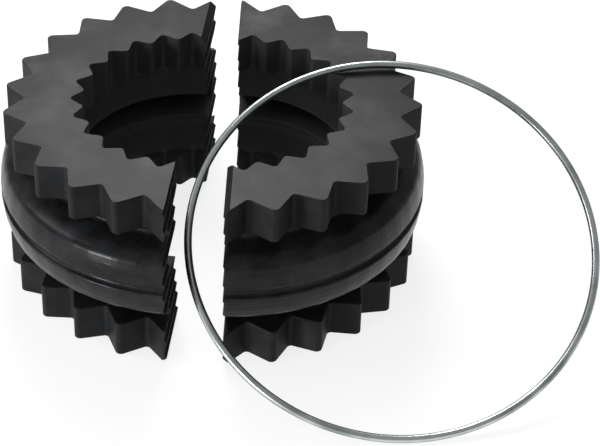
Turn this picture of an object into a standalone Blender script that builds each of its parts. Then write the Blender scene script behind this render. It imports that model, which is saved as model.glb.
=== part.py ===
"""Two-piece rubber sleeve of a toothed shaft coupling, with its wire retaining ring.

The set lies as it is unpacked: the two half sleeves stand on their ends side by side, and the
wire ring leans over the right one, its foot on the floor and its head on the toothed end face.
"""

import math

import bmesh
import bpy
from mathutils import Matrix, Vector

# Driving sizes, in metres and degrees

# Toothed ends, the same at both ends of a half sleeve
TEETH_PER_HALF = 12  # outside and inside alike
TOOTH_LENGTH = 0.0130  # along the axis
INNER_CREST_R = 0.0368
INNER_TOOTH_DEPTH = 0.0037
INNER_ROUND = 0.0015
OUTER_TOOTH_DEPTH = 0.0064
OUTER_TIP_ROUND = 0.0019
OUTER_ROOT_ROUND = 0.0016
RUN_OUT = 0.0010  # inner teeth blend into the wall behind them over this length
TOOTH_EDGE = 0.0006  # broken edge where an outer tooth ends over the neck

# Neck between the teeth and the flange
NECK_LENGTH = 0.0044
NECK_WALL = 0.0135  # between the inner tooth roots and the neck
NECK_DROP = 0.0031  # from the outer tooth roots in to the neck
NECK_FILLET = 0.0016

# Flange round the middle, with a crowned rim that carries the wire
RIM_RISE = 0.0024  # above the outer tooth tips, at mid-length
CROWN_R = 0.0340  # of the rim's slight bulge, in section
RIM_HALF_WIDTH = 0.0087  # from mid-length to the rim's corner
CORNER_ROUND = 0.0030
SHOULDER_RISE = 0.0040  # from the rim's corner to where the steep shoulder turns nearly flat
SHOULDER_INSET = 0.0050  # of that turn, from the rim
FLANGE_TOP_RISE = 0.0015  # from that turn to the neck
GROOVE_SINK = 0.0003  # groove centre below the rim
LIP_ROUND = 0.0004  # broken edges of the groove

# Undercut inside the flange
FLANGE_WALL = 0.0109  # between the rim and the cavity's back
CAVITY_FILLET = 0.0025
CAVITY_LIP_RISE = 0.0064  # upper lip over mid-length
UPPER_LIP_INSET = 0.0011  # from the inner tooth roots to the upper lip
RIDGE_DROP = 0.0036  # ridge at the cavity's lower lip, below mid-length
RIDGE_FLARE = 0.0016  # from the inner tooth roots out to the ridge
CAVITY_RISE = 0.0006  # floor climbs this much from the ridge to the back wall
RIDGE_BEAD = 0.0008  # how far the bead on the ridge stands out
BEAD_HEIGHT = 0.0008
BAND_LENGTH = 0.0025  # plain wall between the lower teeth and the cone up to the ridge
BAND_INSET = 0.0012  # from the inner tooth roots to that wall

# Split ends: saw-tooth ribs that lock the halves, with bevelled corners
RIB_COUNT = 10
RIB_MARGIN = 0.00235  # from an end face to the nearest rib
RIB_HEIGHT = 0.0008
RIB_STEP = 0.0010  # height over which a rib steps back
SPLIT_SET_BACK = 0.0003
LEAD_DEPTH = 0.0019

# Wire ring
WIRE_D = 0.0026
RING_SLACK = 0.0018  # by which the free ring is wider than its groove, in radius
GROOVE_PLAY = 0.0001  # round the wire in its groove

# Layout of the set on the floor, from above
REST_GAP = 0.0003  # between the leaning ring and the end face it rests on
RIGHT_PLACE = (0.0084, -0.0141)  # axis of the right half sleeve
RIGHT_TURN = -3.2
LEFT_PLACE = (-0.0055, -0.0134)
LEFT_TURN = 172.5
RING_FOOT_INSIDE = 0.0092  # foot of the ring, from the side of the right half's rim
RING_FOOT_AHEAD = 0.0346  # and in front of it
RING_TURN = 4.3

# Facets
ROUND_STEPS = 2  # on each half of a tooth's tip or root
FILLET_STEPS = 4
RING_STEPS = 96
WIRE_SIDES = 8
CUTTER_MARGIN = 0.020

# Sizes that follow
TOOTH_COUNT = 2 * TEETH_PER_HALF
FLANGE_TOP_Z = RIM_HALF_WIDTH + SHOULDER_RISE + FLANGE_TOP_RISE  # over mid-length
MIDDLE = TOOTH_LENGTH + NECK_LENGTH + FLANGE_TOP_Z  # over the bottom face
LENGTH = 2 * MIDDLE  # 63.2 mm from end face to end face
INNER_ROOT_R = INNER_CREST_R + INNER_TOOTH_DEPTH
NECK_R = INNER_ROOT_R + NECK_WALL
OUTER_ROOT_R = NECK_R + NECK_DROP
OUTER_TIP_R = OUTER_ROOT_R + OUTER_TOOTH_DEPTH  # 127 mm across the tips
RIM_R = OUTER_TIP_R + RIM_RISE
CAVITY_R = RIM_R - FLANGE_WALL
RIDGE_R = INNER_ROOT_R + RIDGE_FLARE
RING_R = RIM_R - GROOVE_SINK + RING_SLACK  # to the middle of the wire
RING_FOOT = (RIGHT_PLACE[0] + RIM_R - RING_FOOT_INSIDE, RIGHT_PLACE[1] - RIM_R - RING_FOOT_AHEAD)


def clear_scene():
    for obj in list(bpy.data.objects):
        bpy.data.objects.remove(obj, do_unlink=True)


def make_material(name, colour, roughness, metallic=0.0):
    material = bpy.data.materials.new(name)
    material.use_nodes = True
    shader = material.node_tree.nodes["Principled BSDF"]
    shader.inputs["Base Color"].default_value = (*colour, 1.0)
    shader.inputs["Roughness"].default_value = roughness
    shader.inputs["Metallic"].default_value = metallic
    material.diffuse_color = (*colour, 1.0)
    return material


def add_object(name, bm, material=None, smooth_below=30.0):
    bmesh.ops.recalc_face_normals(bm, faces=bm.faces)
    mesh = bpy.data.meshes.new(name)
    bm.to_mesh(mesh)
    bm.free()
    mesh.shade_smooth()
    mesh.set_sharp_from_angle(angle=math.radians(smooth_below))
    obj = bpy.data.objects.new(name, mesh)
    if material:
        mesh.materials.append(material)
    bpy.context.collection.objects.link(obj)
    return obj


def arc(centre, radius, start, end, steps):
    """Points of a circular arc in the plane of a section, angles in degrees."""
    return [
        (
            centre[0] + radius * math.cos(math.radians(start + (end - start) * i / steps)),
            centre[1] + radius * math.sin(math.radians(start + (end - start) * i / steps)),
        )
        for i in range(steps + 1)
    ]


# Toothed outlines: each tooth is two mirrored cells, and a cell runs from one apex to the next


def tooth_cell(first_r, first_round, second_r, second_round, cell_angle):
    """Outline from the apex at angle 0 to the next apex: an arc, a straight flank, an arc."""
    outward = Vector((math.cos(cell_angle), math.sin(cell_angle)))
    first_sign = 1 if first_r > second_r else -1
    first = Vector((first_r - first_sign * first_round, 0))
    second = outward * (second_r + first_sign * second_round)
    along = second - first
    lean = math.acos((first_round + second_round) / along.length)
    normal = along.normalized()
    normal.rotate(Matrix.Rotation(-lean if first_sign > 0 else lean, 2))
    if normal.x * first_sign < 0:
        normal = along.normalized()
        normal.rotate(Matrix.Rotation(lean if first_sign > 0 else -lean, 2))

    def swing(centre, radius, start, end):
        begin = math.atan2(start.y, start.x)
        turn = (math.atan2(end.y, end.x) - begin + math.pi) % math.tau - math.pi
        return [
            centre + radius * Vector((math.cos(begin + turn * i / ROUND_STEPS),
                                      math.sin(begin + turn * i / ROUND_STEPS)))
            for i in range(ROUND_STEPS + 1)
        ]

    head = swing(first, first_round, Vector((first_sign, 0)), normal)
    tail = swing(second, second_round, -normal, -first_sign * outward)
    return [(math.atan2(p.y, p.x), p.length) for p in head + tail]


def half_ring_angles():
    """Angles of the apexes over half a turn, and half a cell past the split at both ends."""
    cell = math.pi / TOOTH_COUNT
    return [cell * k for k in range(-TOOTH_COUNT // 2, TOOTH_COUNT // 2 + 1)], cell


def toothed_rail(tip_r, tip_round, root_r, root_round):
    """(angle, radius) pairs of a toothed outline, a tip on each split plane."""
    apexes, cell = half_ring_angles()
    falling = tooth_cell(tip_r, tip_round, root_r, root_round, cell)
    rising = [(cell - angle, r) for angle, r in reversed(falling)]
    end_angle, end_r = flank_middle(falling)
    rail = [(apexes[0] - end_angle, end_r)]
    rail += [(apexes[0] - angle, r) for angle, r in reversed(falling) if angle < end_angle]
    for index, start in enumerate(apexes[:-1]):
        outline = falling if index % 2 == 0 else rising
        rail += [(start + angle, r) for angle, r in outline[1:]]
    rail += [(apexes[-1] + angle, r) for angle, r in falling[1:] if angle < end_angle]
    rail.append((apexes[-1] + end_angle, end_r))
    return rail


def flank_middle(outline):
    """Where the straight flank of a cell crosses half the cell's angle."""
    half = outline[-1][0] / 2
    before = max((p for p in outline if p[0] < half), key=lambda p: p[0])
    after = min((p for p in outline if p[0] >= half), key=lambda p: p[0])
    a = before[1] * Vector((math.cos(before[0]), math.sin(before[0])))
    b = after[1] * Vector((math.cos(after[0]), math.sin(after[0])))
    ray = Vector((math.sin(half), -math.cos(half)))
    share = a.dot(ray) / (a.dot(ray) - b.dot(ray))
    return half, a.lerp(b, share).length


def plain_rail(radius):
    """(angle, radius) pairs of a round outline, with a point at every apex."""
    apexes, cell = half_ring_angles()
    angles = [apexes[0] - cell / 2] + apexes + [apexes[-1] + cell / 2]
    return [(angle, radius) for angle in angles]


# Half sleeve: rails laid one after another round the section, and skinned in between


def half_sleeve_rails():
    """Every rail with its height, from the top outer edge down the outside and up the inside."""
    outer = toothed_rail(OUTER_TIP_R, OUTER_TIP_ROUND, OUTER_ROOT_R, OUTER_ROOT_ROUND)
    outer_edge = [(angle, r - TOOTH_EDGE) for angle, r in outer]
    inner = toothed_rail(INNER_CREST_R, INNER_ROUND, INNER_ROOT_R, INNER_ROUND)
    tooth_end = LENGTH - TOOTH_LENGTH
    rails = [
        (outer, LENGTH),
        (outer, tooth_end + TOOTH_EDGE),
        (outer_edge, tooth_end),
    ]
    rails += [(plain_rail(r), z) for r, z in outside_profile()]
    rails += [
        (outer_edge, TOOTH_LENGTH),
        (outer, TOOTH_LENGTH - TOOTH_EDGE),
        (outer, 0.0),
        (inner, 0.0),
        (inner, TOOTH_LENGTH),
    ]
    rails += [(plain_rail(r), z) for r, z in inside_profile()]
    rails += [(inner, tooth_end), (inner, LENGTH)]
    return rails


def flange_half():
    """Section of the flange from the groove's middle up to the neck, heights from mid-length."""
    groove_r = WIRE_D / 2 + GROOVE_PLAY
    groove = (RIM_R - GROOVE_SINK, 0.0)
    crown = RIM_R - CROWN_R
    corner_angle = math.degrees(math.asin(RIM_HALF_WIDTH / CROWN_R))
    lip_angle = math.degrees(math.asin((groove_r + LIP_ROUND) / CROWN_R))
    corner_r = crown + CROWN_R * math.cos(math.radians(corner_angle))
    corner = (
        corner_r - CORNER_ROUND * math.cos(math.radians(corner_angle)),
        RIM_HALF_WIDTH - CORNER_ROUND * math.sin(math.radians(corner_angle)),
    )
    shoulder = (RIM_R - SHOULDER_INSET, RIM_HALF_WIDTH + SHOULDER_RISE)
    slope = math.degrees(math.atan2(shoulder[1] - corner[1], shoulder[0] - corner[0]))
    tangent = slope - math.degrees(math.acos(CORNER_ROUND / math.dist(corner, shoulder)))
    neck = (NECK_R + NECK_FILLET, FLANGE_TOP_Z + NECK_FILLET)
    return (
        arc(groove, groove_r, 180, 90, FILLET_STEPS // 2)
        + arc((crown, 0.0), CROWN_R, lip_angle, corner_angle, FILLET_STEPS // 2)
        + arc(corner, CORNER_ROUND, corner_angle, tangent, FILLET_STEPS)[1:]
        + [shoulder]
        + arc(neck, NECK_FILLET, 270, 180, FILLET_STEPS // 2)
    )


def outside_profile():
    """Neck, flange and neck from top to bottom, as (radius, height over the bottom face)."""
    half = flange_half()
    upper = [(r, MIDDLE + z) for r, z in reversed(half)]
    lower = [(r, MIDDLE - z) for r, z in half[1:]]
    return [(NECK_R, LENGTH - TOOTH_LENGTH)] + upper + lower + [(NECK_R, TOOTH_LENGTH)]


def inside_profile():
    """Lower wall, cone with its bead, undercut cavity and upper wall, as (radius, height)."""
    lip_z = MIDDLE + CAVITY_LIP_RISE
    ridge_z = MIDDLE - RIDGE_DROP
    floor_z = ridge_z + CAVITY_RISE
    band_z = TOOTH_LENGTH + RUN_OUT
    fillet = min(CAVITY_FILLET, (lip_z - floor_z) / 2, (CAVITY_R - RIDGE_R) / 2)
    back = CAVITY_R - fillet
    return (
        [
            (INNER_ROOT_R - BAND_INSET, band_z),
            (INNER_ROOT_R - BAND_INSET, band_z + BAND_LENGTH),
            (RIDGE_R, ridge_z - 2 * BEAD_HEIGHT),
            (RIDGE_R - RIDGE_BEAD, ridge_z - BEAD_HEIGHT),
            (RIDGE_R, ridge_z),
        ]
        + arc((back, floor_z + fillet), fillet, -90, 0, FILLET_STEPS // 2)
        + arc((back, lip_z - fillet), fillet, 0, 90, FILLET_STEPS // 2)
        + [(INNER_ROOT_R - UPPER_LIP_INSET, lip_z), (INNER_ROOT_R, LENGTH - band_z)]
    )


def lay_rail(bm, rail, height):
    return [
        bm.verts.new((r * math.cos(angle), r * math.sin(angle), height)) for angle, r in rail
    ]


def skin_between(bm, first, second, first_rail, second_rail):
    """Triangles between two rails whose points differ in number, matched by angle."""
    i, j = 0, 0
    while i < len(first) - 1 or j < len(second) - 1:
        next_first = first_rail[i + 1][0] if i < len(first) - 1 else math.inf
        next_second = second_rail[j + 1][0] if j < len(second) - 1 else math.inf
        if len(first) == len(second):
            bm.faces.new((first[i], first[i + 1], second[j + 1], second[j]))
            i, j = i + 1, j + 1
        elif next_first <= next_second:
            bm.faces.new((first[i], first[i + 1], second[j]))
            i += 1
        else:
            bm.faces.new((first[i], second[j + 1], second[j]))
            j += 1


def half_sleeve_body():
    bm = bmesh.new()
    rails = half_sleeve_rails()
    laid = [lay_rail(bm, rail, height) for rail, height in rails]
    for index, verts in enumerate(laid):
        following = (index + 1) % len(laid)
        skin_between(bm, verts, laid[following], rails[index][0], rails[following][0])
    bm.faces.new([verts[0] for verts in laid])
    bm.faces.new([verts[-1] for verts in reversed(laid)])
    return bm


# Split ends


def ribbed_edge(sense, top_lead):
    """(x, height) of a split end from bottom to top. The ribs of a half's two ends have one
    sense, 1 or -1, and those of the other half the opposite one, so that they mesh."""
    crest = SPLIT_SET_BACK - sense * RIB_HEIGHT / 2
    valley = SPLIT_SET_BACK + sense * RIB_HEIGHT / 2
    pitch = (LENGTH - 2 * RIB_MARGIN) / (RIB_COUNT - 1)
    edge = [(LEAD_DEPTH, 0.0)]
    for k in range(RIB_COUNT):
        height = RIB_MARGIN + k * pitch
        edge.append((valley, height - RIB_STEP / 2))
        edge.append((crest, height + RIB_STEP / 2))
    edge.append((LEAD_DEPTH if top_lead else SPLIT_SET_BACK, LENGTH))
    return edge


def split_cutter(name, edge, y_low, y_high):
    """Prism that takes away everything behind a split end."""
    outline = [(-CUTTER_MARGIN, -CUTTER_MARGIN), (edge[0][0], -CUTTER_MARGIN)]
    outline += edge
    outline += [(edge[-1][0], LENGTH + CUTTER_MARGIN), (-CUTTER_MARGIN, LENGTH + CUTTER_MARGIN)]
    bm = bmesh.new()
    near = [bm.verts.new((x, y_low, z)) for x, z in outline]
    far = [bm.verts.new((x, y_high, z)) for x, z in outline]
    bm.faces.new(near)
    bm.faces.new(list(reversed(far)))
    for k in range(len(outline)):
        following = (k + 1) % len(outline)
        bm.faces.new((near[k], far[k], far[following], near[following]))
    cutter = add_object(name, bm)
    cutter.hide_render = True
    cutter.display_type = "WIRE"
    return cutter


def cut_with(obj, cutter):
    modifier = obj.modifiers.new(cutter.name, "BOOLEAN")
    modifier.object = cutter
    modifier.operation = "DIFFERENCE"
    modifier.solver = "EXACT"


def make_half_sleeve(name, place, turn, rib_sense, material):
    sleeve = add_object(name, half_sleeve_body(), material)
    start = INNER_CREST_R - CUTTER_MARGIN
    stop = RIM_R + CUTTER_MARGIN
    plain = split_cutter(name + "_plain_end", ribbed_edge(rib_sense, False), start, stop)
    lead = split_cutter(name + "_lead_end", ribbed_edge(rib_sense, True), -stop, -start)
    for cutter in (plain, lead):
        cutter.parent = sleeve
        cut_with(sleeve, cutter)
    sleeve.location = (*place, 0.0)
    sleeve.rotation_euler.z = math.radians(turn)
    return sleeve


# Wire ring


def ring_point(lean, angle):
    """Middle of the wire at an angle from the foot, for a ring that leans by lean."""
    heading = math.radians(RING_TURN)
    across = Vector((math.cos(heading), math.sin(heading), 0))
    uphill = Vector((-math.sin(heading), math.cos(heading), 0)) * math.cos(lean)
    uphill.z = math.sin(lean)
    foot = Vector((*RING_FOOT, WIRE_D / 2))
    centre = foot + uphill * RING_R
    return centre + RING_R * (math.sin(angle) * across - math.cos(angle) * uphill)


def over_right_face(point):
    offset = Vector((point.x - RIGHT_PLACE[0], point.y - RIGHT_PLACE[1]))
    offset.rotate(Matrix.Rotation(-math.radians(RIGHT_TURN), 2))
    return INNER_CREST_R < offset.length < OUTER_TIP_R and offset.x > 0


def ring_lean():
    """Smallest lean that keeps the wire over the end face by the rest gap."""
    wanted = LENGTH + REST_GAP + WIRE_D / 2
    low, high = 0.0, math.pi / 2
    angles = [math.tau * k / 720 for k in range(720)]
    for _ in range(40):
        lean = (low + high) / 2
        points = [ring_point(lean, angle) for angle in angles]
        head = max(point.z for point in points)
        over = [point.z for point in points if over_right_face(point) and point.z > head / 2]
        if head > wanted and (not over or min(over) > wanted):
            high = lean
        else:
            low = lean
    return high


def make_ring(name, material):
    bm = bmesh.new()
    circle = bmesh.ops.create_circle(
        bm, segments=WIRE_SIDES, radius=WIRE_D / 2, matrix=Matrix.Translation((RING_R, 0, 0))
    )
    bmesh.ops.rotate(
        bm, verts=circle["verts"], cent=(RING_R, 0, 0), matrix=Matrix.Rotation(math.pi / 2, 3, "X")
    )
    bmesh.ops.spin(
        bm, geom=bm.verts[:] + bm.edges[:], cent=(0, 0, 0), axis=(0, 0, 1), angle=math.tau,
        steps=RING_STEPS, use_merge=True,
    )
    ring = add_object(name, bm, material, smooth_below=60.0)
    lean = ring_lean()
    centre = (ring_point(lean, 0.0) + ring_point(lean, math.pi)) / 2
    ring.location = centre
    ring.rotation_euler = (lean, 0, math.radians(RING_TURN))
    return ring


# The set


def centre_on_floor(objects):
    """Carries the set on one empty, so that its box stands centred on the origin."""
    bpy.context.view_layer.update()
    graph = bpy.context.evaluated_depsgraph_get()
    corners = []
    for obj in objects:
        evaluated = obj.evaluated_get(graph)
        mesh = evaluated.to_mesh()
        corners += [evaluated.matrix_world @ vert.co for vert in mesh.vertices]
        evaluated.to_mesh_clear()
    middle = [(min(c[k] for c in corners) + max(c[k] for c in corners)) / 2 for k in range(2)]
    carrier = bpy.data.objects.new("coupling_set", None)
    bpy.context.collection.objects.link(carrier)
    carrier.location = (-middle[0], -middle[1], -min(c.z for c in corners))
    for obj in objects:
        obj.parent = carrier


def main():
    clear_scene()
    rubber = make_material("moulded_rubber", (0.028, 0.028, 0.030), 0.45)
    wire = make_material("zinc_plated_wire", (0.66, 0.68, 0.70), 0.25, metallic=1.0)
    left = make_half_sleeve("left_half_sleeve", LEFT_PLACE, LEFT_TURN, -1, rubber)
    right = make_half_sleeve("right_half_sleeve", RIGHT_PLACE, RIGHT_TURN, 1, rubber)
    ring = make_ring("retaining_ring", wire)
    centre_on_floor([left, right, ring])


main()
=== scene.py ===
import math

import bmesh
import bpy
from mathutils import Matrix, Vector


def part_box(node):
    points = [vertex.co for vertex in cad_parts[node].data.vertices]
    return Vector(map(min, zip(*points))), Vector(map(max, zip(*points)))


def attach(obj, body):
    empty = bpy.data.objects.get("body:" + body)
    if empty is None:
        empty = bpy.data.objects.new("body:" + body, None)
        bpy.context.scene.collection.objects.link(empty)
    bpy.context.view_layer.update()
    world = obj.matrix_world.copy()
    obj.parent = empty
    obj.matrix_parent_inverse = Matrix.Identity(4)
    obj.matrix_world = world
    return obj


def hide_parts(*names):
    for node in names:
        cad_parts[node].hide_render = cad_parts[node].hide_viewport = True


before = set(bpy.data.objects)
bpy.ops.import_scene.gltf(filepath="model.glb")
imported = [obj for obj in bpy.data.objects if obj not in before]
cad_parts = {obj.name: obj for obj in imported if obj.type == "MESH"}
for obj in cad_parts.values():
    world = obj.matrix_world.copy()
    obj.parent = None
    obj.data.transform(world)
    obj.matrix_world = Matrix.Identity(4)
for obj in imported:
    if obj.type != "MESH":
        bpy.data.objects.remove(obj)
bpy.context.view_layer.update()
print("frame loaded:", sorted(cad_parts))

# Section and outline helpers. A section is a list of (radius, height), heights from mid-length.


def arc(centre, radius, start, end, steps):
    points = []
    for i in range(steps + 1):
        angle = math.radians(start + (end - start) * i / steps)
        points.append((centre[0] + radius * math.cos(angle), centre[1] + radius * math.sin(angle)))
    return points


def softTurn(before, corner, after, reach, steps):
    # replaces a sharp corner by a short curve that starts and ends at the reach from it
    corner = Vector(corner)
    start = corner + (Vector(before) - corner).normalized() * reach
    end = corner + (Vector(after) - corner).normalized() * reach
    points = []
    for i in range(steps + 1):
        t = i / steps
        point = start.lerp(corner, t).lerp(corner.lerp(end, t), t)
        points.append(tuple(point))
    return points


def toothCell(first, firstRound, second, secondRound, cell, steps):
    # one flank with half a tip and half a root, as (angle, radius), from the apex at angle 0
    outward = Vector((math.cos(cell), math.sin(cell)))
    side = 1 if first > second else -1
    firstCentre = Vector((first - side * firstRound, 0))
    secondCentre = outward * (second + side * secondRound)
    along = secondCentre - firstCentre
    lean = math.acos((firstRound + secondRound) / along.length)
    normal = along.normalized()
    normal.rotate(Matrix.Rotation(-side * lean, 2))
    if normal.x * side < 0:
        normal = along.normalized()
        normal.rotate(Matrix.Rotation(side * lean, 2))

    def swing(centre, radius, start, end):
        # the shorter way round the centre, from one direction to the other
        begin = math.atan2(start.y, start.x)
        turn = (math.atan2(end.y, end.x) - begin + math.pi) % math.tau - math.pi
        angles = [begin + turn * i / steps for i in range(steps + 1)]
        return [centre + radius * Vector((math.cos(a), math.sin(a))) for a in angles]

    head = swing(firstCentre, firstRound, Vector((side, 0)), normal)
    tail = swing(secondCentre, secondRound, -normal, -side * outward)
    return [(math.atan2(p.y, p.x), p.length) for p in head + tail]


# Half sleeves. Lengths are in metres, radii from the sleeve's axis, heights from mid-length.

sleeve = {
    "teethPerHalf": 12,
    "toothLength": 0.0130,
    "innerCrest": 0.0368,  # radius over the inner teeth
    "innerRoot": 0.0405,
    "innerRound": 0.0015,
    "outerTip": 0.0635,
    "outerRoot": 0.0571,
    "outerTipRound": 0.0019,
    "outerRootRound": 0.0016,
    "faceEdge": 0.00035,  # broken edge of the toothed end faces
    "toothEdge": 0.0006,  # and of the teeth's inner ends
    "runOut": 0.0014,  # height over which the inner teeth fade into the wall
    "halfLength": 0.0316,
    "neck": 0.0540,
    "neckFillet": 0.0016,
    "neckCorner": 0.0008,
    "rim": 0.0659,
    "crown": 0.0340,  # radius of the flange's crowned band, seen in section
    "rimHalfWidth": 0.0087,
    "cornerRound": 0.0048,
    "shoulder": (0.0609, 0.0127),
    "shoulderSoft": 0.0028,
    "flangeTop": 0.0142,
    "grooveSink": 0.0003,
    "groove": 0.0014,
    "lip": 0.0007,
    "cavity": 0.0550,  # radius of the undercut's back wall
    "cavityFillet": 0.0025,
    "cavityLip": (0.0394, 0.0064),
    "cavityLipSoft": 0.0005,
    "ridge": (0.0421, -0.0036),
    "cavityRise": 0.0006,
    "bead": 0.0008,
    "band": 0.0393,
    "bandLength": 0.0025,
    "ribs": 10,
    "ribMargin": 0.00235,
    "ribHeight": 0.0008,
    "ribStep": 0.0010,
    "splitSetBack": 0.0003,
    "leadDepth": 0.0019,  # how far the bevelled corners are cut back
    "splitEdge": 0.00022,
    "splitEdgeSteps": 2,
    "cutMargin": 0.020,  # reach of the split cutters past the half
    "splitEdgeAngle": 38,  # degrees from which an edge is bevelled
    "sharpAngle": 40,  # and from which it is shaded sharp
    "toothSteps": 5,
    "arcSteps": 8,
    "bendSteps": 10,
    "softSteps": 6,
    "cornerSteps": 4,
    "edgeSteps": 3,
    "runOutSteps": 4,
}

# Where the halves stand, in metres and degrees, and which way their split ribs run

halves = {
    "left": {"place": (-0.034480, 0.018399), "turn": 172.5, "sense": -1},
    "right": {"place": (-0.020580, 0.017699), "turn": -3.2, "sense": 1},
}


def halfOutline(first, firstRound, second, secondRound):
    # (angle, radius) pairs over half a turn and half a cell more at both ends, a tip on each split
    cell = math.pi / (2 * sleeve["teethPerHalf"])
    steps = sleeve["toothSteps"]
    falling = toothCell(first, firstRound, second, secondRound, cell, steps)
    rising = [(cell - angle, r) for angle, r in reversed(falling)]
    pairs = []
    for index in range(-sleeve["teethPerHalf"] - 1, sleeve["teethPerHalf"] + 1):
        outline = falling if index % 2 == sleeve["teethPerHalf"] % 2 else rising
        pairs += [(index * cell + angle, r) for angle, r in outline[1:]]
    return pairs


def flangeHalf():
    # from the groove's middle up over the rim and the shoulder to the neck
    size = sleeve
    grooveCentre = size["rim"] - size["grooveSink"]
    crownCentre = size["rim"] - size["crown"]
    # the lip's round touches the groove and the crown
    toGroove = size["groove"] + size["lip"]
    toCrown = size["crown"] - size["lip"]
    spacing = grooveCentre - crownCentre
    lipR = (grooveCentre + crownCentre + (toCrown**2 - toGroove**2) / spacing) / 2
    lipZ = math.sqrt(toGroove**2 - (lipR - grooveCentre) ** 2)
    grooveAngle = math.degrees(math.atan2(lipZ, lipR - grooveCentre))
    lipAngle = math.degrees(math.atan2(lipZ, lipR - crownCentre))
    cornerAngle = math.degrees(math.asin(size["rimHalfWidth"] / size["crown"]))
    reach = size["crown"] - size["cornerRound"]
    corner = (
        crownCentre + reach * math.cos(math.radians(cornerAngle)),
        reach * math.sin(math.radians(cornerAngle)),
    )
    shoulder = size["shoulder"]
    slope = math.degrees(math.atan2(shoulder[1] - corner[1], shoulder[0] - corner[0]))
    tangent = slope - math.degrees(math.acos(size["cornerRound"] / math.dist(corner, shoulder)))
    groove = arc((grooveCentre, 0.0), size["groove"], 180, grooveAngle, size["arcSteps"])
    lip = arc((lipR, lipZ), size["lip"], grooveAngle - 180, lipAngle, size["softSteps"])
    crown = arc((crownCentre, 0.0), size["crown"], lipAngle, cornerAngle, size["arcSteps"])
    bend = arc(corner, size["cornerRound"], cornerAngle, tangent, size["bendSteps"])
    neck = (size["neck"] + size["neckFillet"], size["flangeTop"] + size["neckFillet"])
    fillet = arc(neck, size["neckFillet"], 270, 180, size["arcSteps"])
    slopeLength = math.dist(bend[-1], shoulder)
    soft = min(size["shoulderSoft"], slopeLength * 0.9)  # some of the slope stays straight
    turn = softTurn(bend[-1], shoulder, fillet[0], soft, size["softSteps"])
    return groove + lip[1:-1] + crown + bend[1:] + turn + fillet


def insideSection():
    # from the lower teeth's inner ends up to the upper ones
    size = sleeve
    bandStart = -size["halfLength"] + size["toothLength"] + size["runOut"]
    ridgeR, ridgeZ = size["ridge"]
    bead = size["bead"]
    lipR, lipZ = size["cavityLip"]
    floorZ = ridgeZ + size["cavityRise"]
    fillet = size["cavityFillet"]
    back = size["cavity"] - fillet
    upperStart = size["halfLength"] - size["toothLength"] - size["runOut"]
    start = (size["innerRoot"], upperStart)
    cavity = arc((back, floorZ + fillet), fillet, -90, 0, size["softSteps"])
    cavity += arc((back, lipZ - fillet), fillet, 0, 90, size["softSteps"])
    lip = softTurn(cavity[-1], (lipR, lipZ), start, size["cavityLipSoft"], size["edgeSteps"])
    return (
        [(size["band"], bandStart), (size["band"], bandStart + size["bandLength"])]
        + arc((ridgeR, ridgeZ - bead), bead, 270, 90, size["arcSteps"])
        + cavity
        + lip
        + [start]
    )


def edgeRound(size, steps):
    # (inset, drop) pairs of a quarter round, from the end face to the flank
    return [
        (size * (1 - math.sin(math.pi / 2 * k / steps)), size * (1 - math.cos(math.pi / 2 * k / steps)))
        for k in range(steps + 1)
    ]


def sleeveRails():
    # rails of (angle, radius) pairs with their heights, once round the section
    size = sleeve
    tip, root = size["outerTip"], size["outerRoot"]
    outer = halfOutline(tip, size["outerTipRound"], root, size["outerRootRound"])
    inner = halfOutline(size["innerCrest"], size["innerRound"], size["innerRoot"], size["innerRound"])
    end = size["halfLength"]
    toothEnd = end - size["toothLength"]
    corner = size["neckCorner"]
    neckEnd = arc((size["neck"] + corner, toothEnd - corner), corner, 180, 90, size["cornerSteps"])
    faceRound = edgeRound(size["faceEdge"], size["edgeSteps"])
    toothRound = edgeRound(size["toothEdge"], size["edgeSteps"])

    def inset(pairs, amount):
        return [(angle, r - amount) for angle, r in pairs]

    def plain(pairs, radius):
        return [(angle, radius) for angle, _ in pairs]

    def runOut(wall):
        # the inner teeth fade into the plain wall, slowly at both ends of the stretch
        rails = []
        for k in range(1, size["runOutSteps"]):
            share = k / size["runOutSteps"]
            eased = share * share * (3 - 2 * share)
            rail = [(angle, r + (wall - r) * eased) for angle, r in inner]
            rails.append((rail, toothEnd - share * size["runOut"]))
        return rails

    upper = [(inset(outer, i), end - d) for i, d in faceRound]
    upper += [(inset(outer, i), toothEnd + d) for i, d in reversed(toothRound)]
    upper += [(plain(outer, r), z) for r, z in reversed(neckEnd)]
    upper += [(plain(outer, r), z) for r, z in reversed(flangeHalf())]
    lower = [(rail, -z) for rail, z in reversed(upper[:-1])]
    teeth = [(inset(inner, -i), end - d) for i, d in faceRound] + [(inner, toothEnd)]
    inside = [(rail, -z) for rail, z in teeth + runOut(size["band"])]
    inside += [(plain(inner, r), z) for r, z in insideSection()]
    inside += list(reversed(teeth + runOut(size["innerRoot"])))
    return upper + lower + inside


def layRail(bm, rail, height):
    # a row of edges along one rail
    verts = [bm.verts.new((r * math.cos(a), r * math.sin(a), height)) for a, r in rail]
    return [bm.edges.new(pair) for pair in zip(verts, verts[1:])]


def sleeveBody():
    bm = bmesh.new()
    rails = [layRail(bm, rail, height) for rail, height in sleeveRails()]
    for first, second in zip(rails, rails[1:] + rails[:1]):
        bmesh.ops.bridge_loops(bm, edges=first + second)
    bmesh.ops.holes_fill(bm, edges=[edge for edge in bm.edges if edge.is_boundary], sides=0)
    bmesh.ops.recalc_face_normals(bm, faces=bm.faces)
    return bm


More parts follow.
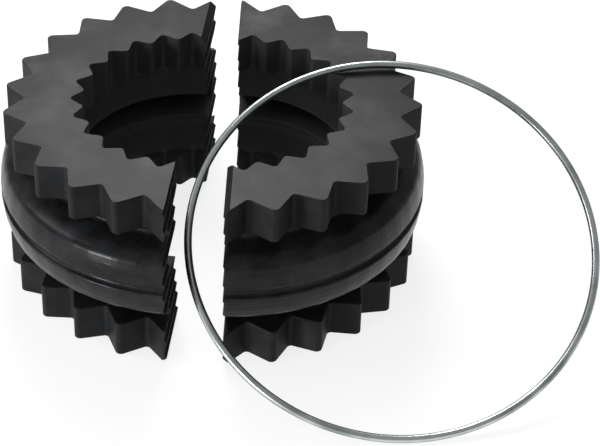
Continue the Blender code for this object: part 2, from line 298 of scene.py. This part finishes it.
def splitCutter(sense, topLead, yLow, yHigh):
    # prism behind a split end, whose front follows the saw-tooth ribs and the bevelled corners
    size = sleeve
    margin = size["cutMargin"]
    end = size["halfLength"]
    crest = size["splitSetBack"] - sense * size["ribHeight"] / 2
    valley = size["splitSetBack"] + sense * size["ribHeight"] / 2
    pitch = 2 * (end - size["ribMargin"]) / (size["ribs"] - 1)
    outline = [(-margin, -end - margin), (size["leadDepth"], -end - margin), (size["leadDepth"], -end)]
    for k in range(size["ribs"]):
        height = -end + size["ribMargin"] + k * pitch
        outline.append((valley, height - size["ribStep"] / 2))
        outline.append((crest, height + size["ribStep"] / 2))
    last = size["leadDepth"] if topLead else size["splitSetBack"]
    outline += [(last, end), (last, end + margin), (-margin, end + margin)]
    bm = bmesh.new()
    face = bm.faces.new([bm.verts.new((x, yLow, z)) for x, z in outline])
    raised = bmesh.ops.extrude_face_region(bm, geom=[face])
    verts = [item for item in raised["geom"] if isinstance(item, bmesh.types.BMVert)]
    bmesh.ops.translate(bm, verts=verts, vec=(0, yHigh - yLow, 0))
    bmesh.ops.recalc_face_normals(bm, faces=bm.faces)
    return bm


def meshObject(name, bm):
    mesh = bpy.data.meshes.new(name)
    bm.to_mesh(mesh)
    bm.free()
    piece = bpy.data.objects.new(name, mesh)
    bpy.context.scene.collection.objects.link(piece)
    return piece


def settled(piece):
    # gives the piece the mesh that its modifiers make, and clears them
    graph = bpy.context.evaluated_depsgraph_get()
    mesh = bpy.data.meshes.new_from_object(piece.evaluated_get(graph))
    piece.modifiers.clear()
    piece.data = mesh


def markFaces(mesh):
    # face attributes for the rubber's shader: 1 on the ribbed split ends, 1 on the inner walls
    split = mesh.attributes.new("splitEnd", "FLOAT", "FACE")
    inside = mesh.attributes.new("inside", "FLOAT", "FACE")
    splitNormal = -0.3  # a split face's normal has an x below this
    splitDepth = sleeve["leadDepth"] * 1.5
    wallOutward = 0.05  # an inner wall faces the axis, or up or down
    wallEnd = sleeve["halfLength"] - sleeve["faceEdge"]
    for face in mesh.polygons:
        across = face.center.xy.length
        outward = face.center.xy.dot(face.normal.xy) / across
        onSplit = face.normal.x < splitNormal and face.center.x < splitDepth
        isInside = across < sleeve["cavity"] and outward < wallOutward and abs(face.center.z) < wallEnd
        split.data[face.index].value = float(onSplit)
        inside.data[face.index].value = float(isInside)


def makeHalf(side, body):
    half = halves[side]
    piece = meshObject(side + "Half", body)
    inner = sleeve["innerCrest"] / 2
    outer = sleeve["rim"] + sleeve["cutMargin"]
    cutters = [
        meshObject(side + "PlainCut", splitCutter(half["sense"], False, inner, outer)),
        meshObject(side + "LeadCut", splitCutter(half["sense"], True, -outer, -inner)),
    ]
    for cutter in cutters:
        cut = piece.modifiers.new(cutter.name, "BOOLEAN")
        cut.object = cutter
        cut.operation = "DIFFERENCE"
        cut.solver = "EXACT"
    settled(piece)
    for cutter in cutters:
        bpy.data.objects.remove(cutter)
    edge = piece.modifiers.new("edges", "BEVEL")
    edge.width = sleeve["splitEdge"]
    edge.segments = sleeve["splitEdgeSteps"]
    edge.limit_method = "ANGLE"
    edge.angle_limit = math.radians(sleeve["splitEdgeAngle"])
    edge.use_clamp_overlap = True
    settled(piece)
    markFaces(piece.data)
    piece.data.shade_smooth()
    piece.data.set_sharp_from_angle(angle=math.radians(sleeve["sharpAngle"]))
    flat = piece.modifiers.new("flats", "WEIGHTED_NORMAL")
    flat.keep_sharp = True
    settled(piece)
    place = Matrix.Translation((*half["place"], sleeve["halfLength"]))
    piece.data.transform(place @ Matrix.Rotation(math.radians(half["turn"]), 4, "Z"))
    return piece


# Wire ring. Its place, size and lean come from the box of the one it replaces.

ring = {
    "wire": 0.0026,
    "turn": 4.3,  # degrees about the vertical
    "steps": 240,
    "sides": 24,
}


def makeRing(node):
    low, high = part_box(node)
    radius = (high.x - low.x - ring["wire"]) / 2
    lean = math.asin((high.z - low.z - ring["wire"]) / (2 * radius))
    upright = Matrix.Rotation(math.pi / 2, 3, "X")
    bm = bmesh.new()
    circle = bmesh.ops.create_circle(bm, segments=ring["sides"], radius=ring["wire"] / 2)
    bmesh.ops.rotate(bm, verts=circle["verts"], cent=(0, 0, 0), matrix=upright)
    bmesh.ops.translate(bm, verts=circle["verts"], vec=(radius, 0, 0))
    bmesh.ops.spin(
        bm, geom=bm.verts[:] + bm.edges[:], cent=(0, 0, 0), axis=(0, 0, 1), angle=math.tau,
        steps=ring["steps"], use_merge=True,
    )
    bmesh.ops.recalc_face_normals(bm, faces=bm.faces)
    piece = meshObject("wireRing", bm)
    piece.data.shade_smooth()
    turn = Matrix.Rotation(math.radians(ring["turn"]), 4, "Z") @ Matrix.Rotation(lean, 4, "X")
    piece.data.transform(Matrix.Translation((low + high) / 2) @ turn)
    return piece


# Shader graph: sockets that can be added and multiplied, and one call for every other node


class Signal:
    def __init__(self, graph, socket):
        self.graph = graph
        self.socket = socket

    def maths(self, operation, first, second):
        return self.graph.add("Math", {"operation": operation}, {0: first, 1: second})

    def __add__(self, other):
        return self.maths("ADD", self, other)

    def __radd__(self, other):
        return self.maths("ADD", other, self)

    def __sub__(self, other):
        return self.maths("SUBTRACT", self, other)

    def __rsub__(self, other):
        return self.maths("SUBTRACT", other, self)

    def __mul__(self, other):
        return self.maths("MULTIPLY", self, other)

    def __rmul__(self, other):
        return self.maths("MULTIPLY", other, self)


class Graph:
    def __init__(self, name):
        self.material = bpy.data.materials.new(name)
        self.material.use_nodes = True
        self.nodes = self.material.node_tree.nodes
        self.links = self.material.node_tree.links
        self.surface = self.nodes["Principled BSDF"]

    def plug(self, socket, value):
        if isinstance(value, Signal):
            self.links.new(value.socket, socket)
        else:
            socket.default_value = value

    def add(self, kind, settings=None, inputs=None, output=0):
        node = self.nodes.new("ShaderNode" + kind)
        for name, value in (settings or {}).items():
            setattr(node, name, value)
        for name, value in (inputs or {}).items():
            self.plug(node.inputs[name], value)
        return Signal(self, node.outputs[output])

    def finish(self, **sockets):
        for name, value in sockets.items():
            self.plug(self.surface.inputs[name.replace("_", " ")], value)
        return self.material

    def noise(self, place, scale, detail=3.0, roughness=0.5):
        inputs = {"Vector": place, "Scale": scale, "Detail": detail, "Roughness": roughness}
        return self.add("TexNoise", None, inputs)

    def ramp(self, value, start, end):
        # 0 before the start and 1 past the end, also where the end is the lower one
        return self.add("MapRange", {"clamp": True}, {"Value": value, "From Min": start, "From Max": end})

    def mixed(self, share, first, second):
        # colours: sockets 6 and 7 take them, and output 2 gives the mix
        return self.add("Mix", {"data_type": "RGBA"}, {"Factor": share, 6: first, 7: second}, 2)


def between(low, high, share):
    # numbers or signals: low where the share is 0, high where it is 1
    return low + (high - low) * share


# Moulded rubber, the same on both halves. Its heights are from mid-length as well.

rubber = {
    "dark": (0.0080, 0.0080, 0.0085, 1),
    "warm": (0.0200, 0.0180, 0.0170, 1),
    "cool": (0.0140, 0.0160, 0.0190, 1),
    # whitish bloom on the rubber, also used as a painted highlight along the mould lines
    "bloomAndSheen": (0.0735, 0.0680, 0.0700, 1),
    "inner": (0.0450, 0.0440, 0.0420, 1),
    "cavity": (0.0600, 0.0580, 0.0555, 1),
    # painted shade: the split colour darkens the ribbed split ends, standing in for the shade between the
    # halves
    "split": (0.0050, 0.0050, 0.0050, 1),
    "toothRough": 0.54,
    "flangeRough": 0.225,
    "endRough": 0.38,
    "splitRough": 0.80,
    "mottleRough": 0.07,  # added where the mottle is strong
    "grainRough": 0.04,
    "specular": 0.165,
    "mottleSize": 0.009,
    "cloudScale": 0.4,  # as a share of the mottle's scale
    "tintScale": 0.7,
    "grainSize": 0.00055,
    "grainDepth": 0.00002,
    "wavesPerMetre": 220.0,
    "waveDepth": 2.0,  # in grain depths
    "lineWidth": 0.0007,  # fine lines that the mould leaves round the flange
    "lineLength": 0.022,
    "lineDepth": 7.0,  # in grain depths
    # stretches of noise over which a look goes from none to full
    "tintCut": (0.40, 0.60),
    "darkCut": (0.62, 0.40),
    "dustCut": (0.45, 0.75),
    "spotCut": (0.35, 0.65),
    "wideCut": (0.30, 0.70),
    "lineCut": (0.50, 0.62),
    # least and greatest share of a colour
    "dustSpots": (0.35, 1.0),
    "dustOnEnds": (0.30, 1.0),
    "innerShare": (0.35, 0.70),
    "cavityShare": (0.70, 1.0),
    "splitShadeShare": 0.80,
    # painted highlight: share of the light colour on the mould lines
    "lineHighlightShare": 0.08,
    # heights over which a zone fades in
    "flangeFade": (sleeve["flangeTop"] + 0.0030, sleeve["flangeTop"] + 0.0010),
    "endFade": (sleeve["halfLength"] - 0.00030, sleeve["halfLength"] - 0.00005),
    "cavityFade": (0.0085, 0.0065),
    "bandFade": (0.0085, 0.0070),
}


def makeRubber():
    look = rubber
    graph = Graph("mouldedRubber")
    place = graph.add("TexCoord", output="Object")
    height = graph.add("SeparateXYZ", None, {"Vector": place}, "Z") - sleeve["halfLength"]
    height = graph.add("Math", {"operation": "ABSOLUTE"}, {0: height})

    # patterns
    mottle = graph.noise(place, 1 / look["mottleSize"], 4.0, 0.65)
    cloud = graph.noise(place, look["cloudScale"] / look["mottleSize"])
    tint = graph.noise(place, look["tintScale"] / look["mottleSize"], 2.0)
    grain = graph.noise(place, 1 / look["grainSize"], 2.0)
    waves = graph.noise(place, look["wavesPerMetre"])
    flatten = look["lineWidth"] / look["lineLength"]
    stretched = graph.add("VectorMath", {"operation": "MULTIPLY"}, {0: place, 1: (flatten, flatten, 1)})
    lines = graph.noise(stretched, 1 / look["lineWidth"], 2.0)
    spotted = graph.ramp(mottle, *look["spotCut"])

    # zones, each 1 inside and 0 outside
    onSplit = graph.add("Attribute", {"attribute_name": "splitEnd"}, output="Fac")
    isInside = graph.add("Attribute", {"attribute_name": "inside"}, output="Fac")
    onEnd = graph.ramp(height, *look["endFade"])
    onFlange = graph.ramp(height, *look["flangeFade"]) * (1 - isInside)
    onBand = graph.ramp(height, *look["bandFade"]) * (1 - isInside) * (1 - onSplit)
    inCavity = graph.ramp(height, *look["cavityFade"]) * isInside

    colour = graph.mixed(graph.ramp(tint, *look["tintCut"]), look["cool"], look["warm"])
    colour = graph.mixed(graph.ramp(mottle, *look["darkCut"]), colour, look["dark"])
    dusty = graph.ramp(cloud, *look["dustCut"]) * between(*look["dustSpots"], spotted)
    colour = graph.mixed(dusty * between(*look["dustOnEnds"], onEnd), colour, look["bloomAndSheen"])
    clouded = between(*look["innerShare"], graph.ramp(cloud, *look["wideCut"]))
    colour = graph.mixed(isInside * clouded, colour, look["inner"])
    colour = graph.mixed(inCavity * between(*look["cavityShare"], spotted), colour, look["cavity"])
    # painted shade: the ribbed split ends are darkened towards the split colour, for the shade that falls
    # between the halves
    colour = graph.mixed(onSplit * look["splitShadeShare"], colour, look["split"])
    # painted highlight: the mould lines are made slightly lighter in colour, for the highlight they
    # catch; their relief comes from the bump
    lineHighlight = onBand * (look["lineHighlightShare"] * graph.ramp(lines, *look["lineCut"]))
    colour = graph.mixed(lineHighlight, colour, look["bloomAndSheen"])

    roughness = between(look["toothRough"], look["flangeRough"], onFlange)
    roughness = between(roughness, look["endRough"], onEnd)
    roughness = roughness + look["mottleRough"] * graph.ramp(mottle, *look["wideCut"])
    roughness = roughness + look["grainRough"] * graph.ramp(grain, *look["wideCut"])
    isMatte = onSplit + inCavity * (1 - onSplit)
    roughness = between(roughness, look["splitRough"], isMatte)

    relief = grain + look["waveDepth"] * waves + look["lineDepth"] * (lines * onBand)
    bump = graph.add("Bump", None, {"Strength": 1.0, "Distance": look["grainDepth"], "Height": relief})
    return graph.finish(
        Base_Color=colour, Roughness=roughness, Specular_IOR_Level=look["specular"], Normal=bump,
    )


zinc = {
    "bright": (0.60, 0.64, 0.64, 1),
    "dull": (0.30, 0.33, 0.33, 1),
    # painted shade: the edge tint darkens the wire's rims at grazing angles, standing in for the dark
    # surroundings they reflect
    "edge": (0.22, 0.24, 0.24, 1),  # tint at grazing angles, for the wire's dark rims
    "roughness": 0.24,
    "toneRough": 0.10,  # added on the dull stretches
    "tonesPerMetre": 90.0,
    "toneCut": (0.35, 0.70),
    "roughCut": (0.30, 0.75),
    "spotsPerMetre": 900.0,
    "spotStrength": 0.3,
    "spotDepth": 0.000006,
}


def makeZinc():
    graph = Graph("zincPlatedWire")
    place = graph.add("TexCoord", output="Object")
    spots = graph.noise(place, zinc["spotsPerMetre"])
    tone = graph.noise(place, zinc["tonesPerMetre"])
    colour = graph.mixed(graph.ramp(tone, *zinc["toneCut"]), zinc["bright"], zinc["dull"])
    roughness = zinc["roughness"] + zinc["toneRough"] * graph.ramp(tone, *zinc["roughCut"])
    bump = graph.add(
        "Bump", None,
        {"Strength": zinc["spotStrength"], "Distance": zinc["spotDepth"], "Height": spots},
    )
    # the edge tint paints shade on the wire's rims
    return graph.finish(
        Base_Color=colour, Roughness=roughness, Metallic=1.0, Specular_Tint=zinc["edge"], Normal=bump,
    )


# Floor, room, lamps and camera

stage = {
    "floorColour": (0.30, 0.30, 0.30, 1),
    "floorRough": 0.9,
    "floorSize": 6.0,
    "floorLift": 0.80,  # seen by the camera and in reflections only, so that the open floor is white
    "white": (1, 1, 1, 1),
    "worldFill": 0.36,
}


def makeFloor():
    bm = bmesh.new()
    bmesh.ops.create_grid(bm, x_segments=1, y_segments=1, size=stage["floorSize"] / 2)
    floor = meshObject("floor", bm)
    graph = Graph("paleFloor")
    seen = graph.add("LightPath", output="Is Camera Ray")
    for name in ("Is Glossy Ray", "Is Transmission Ray"):
        ray = graph.add("LightPath", output=name)
        seen = graph.add("Math", {"operation": "MAXIMUM"}, {0: seen, 1: ray})
    look = graph.finish(
        Base_Color=stage["floorColour"], Roughness=stage["floorRough"],
        Emission_Color=stage["white"], Emission_Strength=seen * stage["floorLift"],
    )
    floor.data.materials.append(look)


def makeWorld():
    world = bpy.data.worlds.new("greyRoom")
    world.use_nodes = True
    background = world.node_tree.nodes["Background"]
    background.inputs["Color"].default_value = stage["white"]
    background.inputs["Strength"].default_value = stage["worldFill"]
    bpy.context.scene.world = world


lamps = {
    "overhead": {"from": (-0.045, 0.35, 0.455), "size": (0.23, 0.27), "power": 2.1},
    "side": {"from": (-0.75, 0.05, 0.55), "size": (0.42, 0.30), "power": 1.7},
    "window": {"from": (-0.80, -0.63, 0.10), "size": (0.20, 0.16), "power": 6.2},
}


def makeLamps(target):
    for name, lamp in lamps.items():
        light = bpy.data.lights.new(name, "AREA")
        light.shape = "RECTANGLE"
        light.size, light.size_y = lamp["size"]
        light.energy = lamp["power"]
        holder = bpy.data.objects.new(name, light)
        bpy.context.scene.collection.objects.link(holder)
        holder.location = lamp["from"]
        holder.rotation_euler = (target - holder.location).to_track_quat("-Z", "Y").to_euler()


camera = {
    "place": (-0.02898, -0.59110, 0.47550),
    "elevation": 37.36,  # degrees by which it looks down
    "lens": 130.917,
    "sensor": 36,
    "shift": 0.1531,
    "clipStart": 0.01,
}


def makeCamera():
    lens = bpy.data.cameras.new("camera")
    lens.sensor_fit = "HORIZONTAL"
    lens.sensor_width = camera["sensor"]
    lens.lens = camera["lens"]
    lens.shift_x = camera["shift"]
    lens.clip_start = camera["clipStart"]
    holder = bpy.data.objects.new("camera", lens)
    bpy.context.scene.collection.objects.link(holder)
    holder.location = camera["place"]
    holder.rotation_euler.x = math.radians(90 - camera["elevation"])
    bpy.context.scene.camera = holder


makeCamera()
rubberLook = makeRubber()
zincLook = makeZinc()
for side in halves:
    piece = makeHalf(side, sleeveBody())
    piece.data.materials.append(rubberLook)
    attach(piece, "root")
    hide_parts(side + "_half_sleeve")
    print(side, "half made:", len(piece.data.polygons), "faces")

wire = makeRing("retaining_ring")
wire.data.materials.append(zincLook)
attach(wire, "root")
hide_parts("retaining_ring")
print("ring made")

makeFloor()
makeWorld()
makeLamps(Vector((0, 0, sleeve["halfLength"])))
bpy.context.scene.view_settings.view_transform = "Standard"
print("stage made")
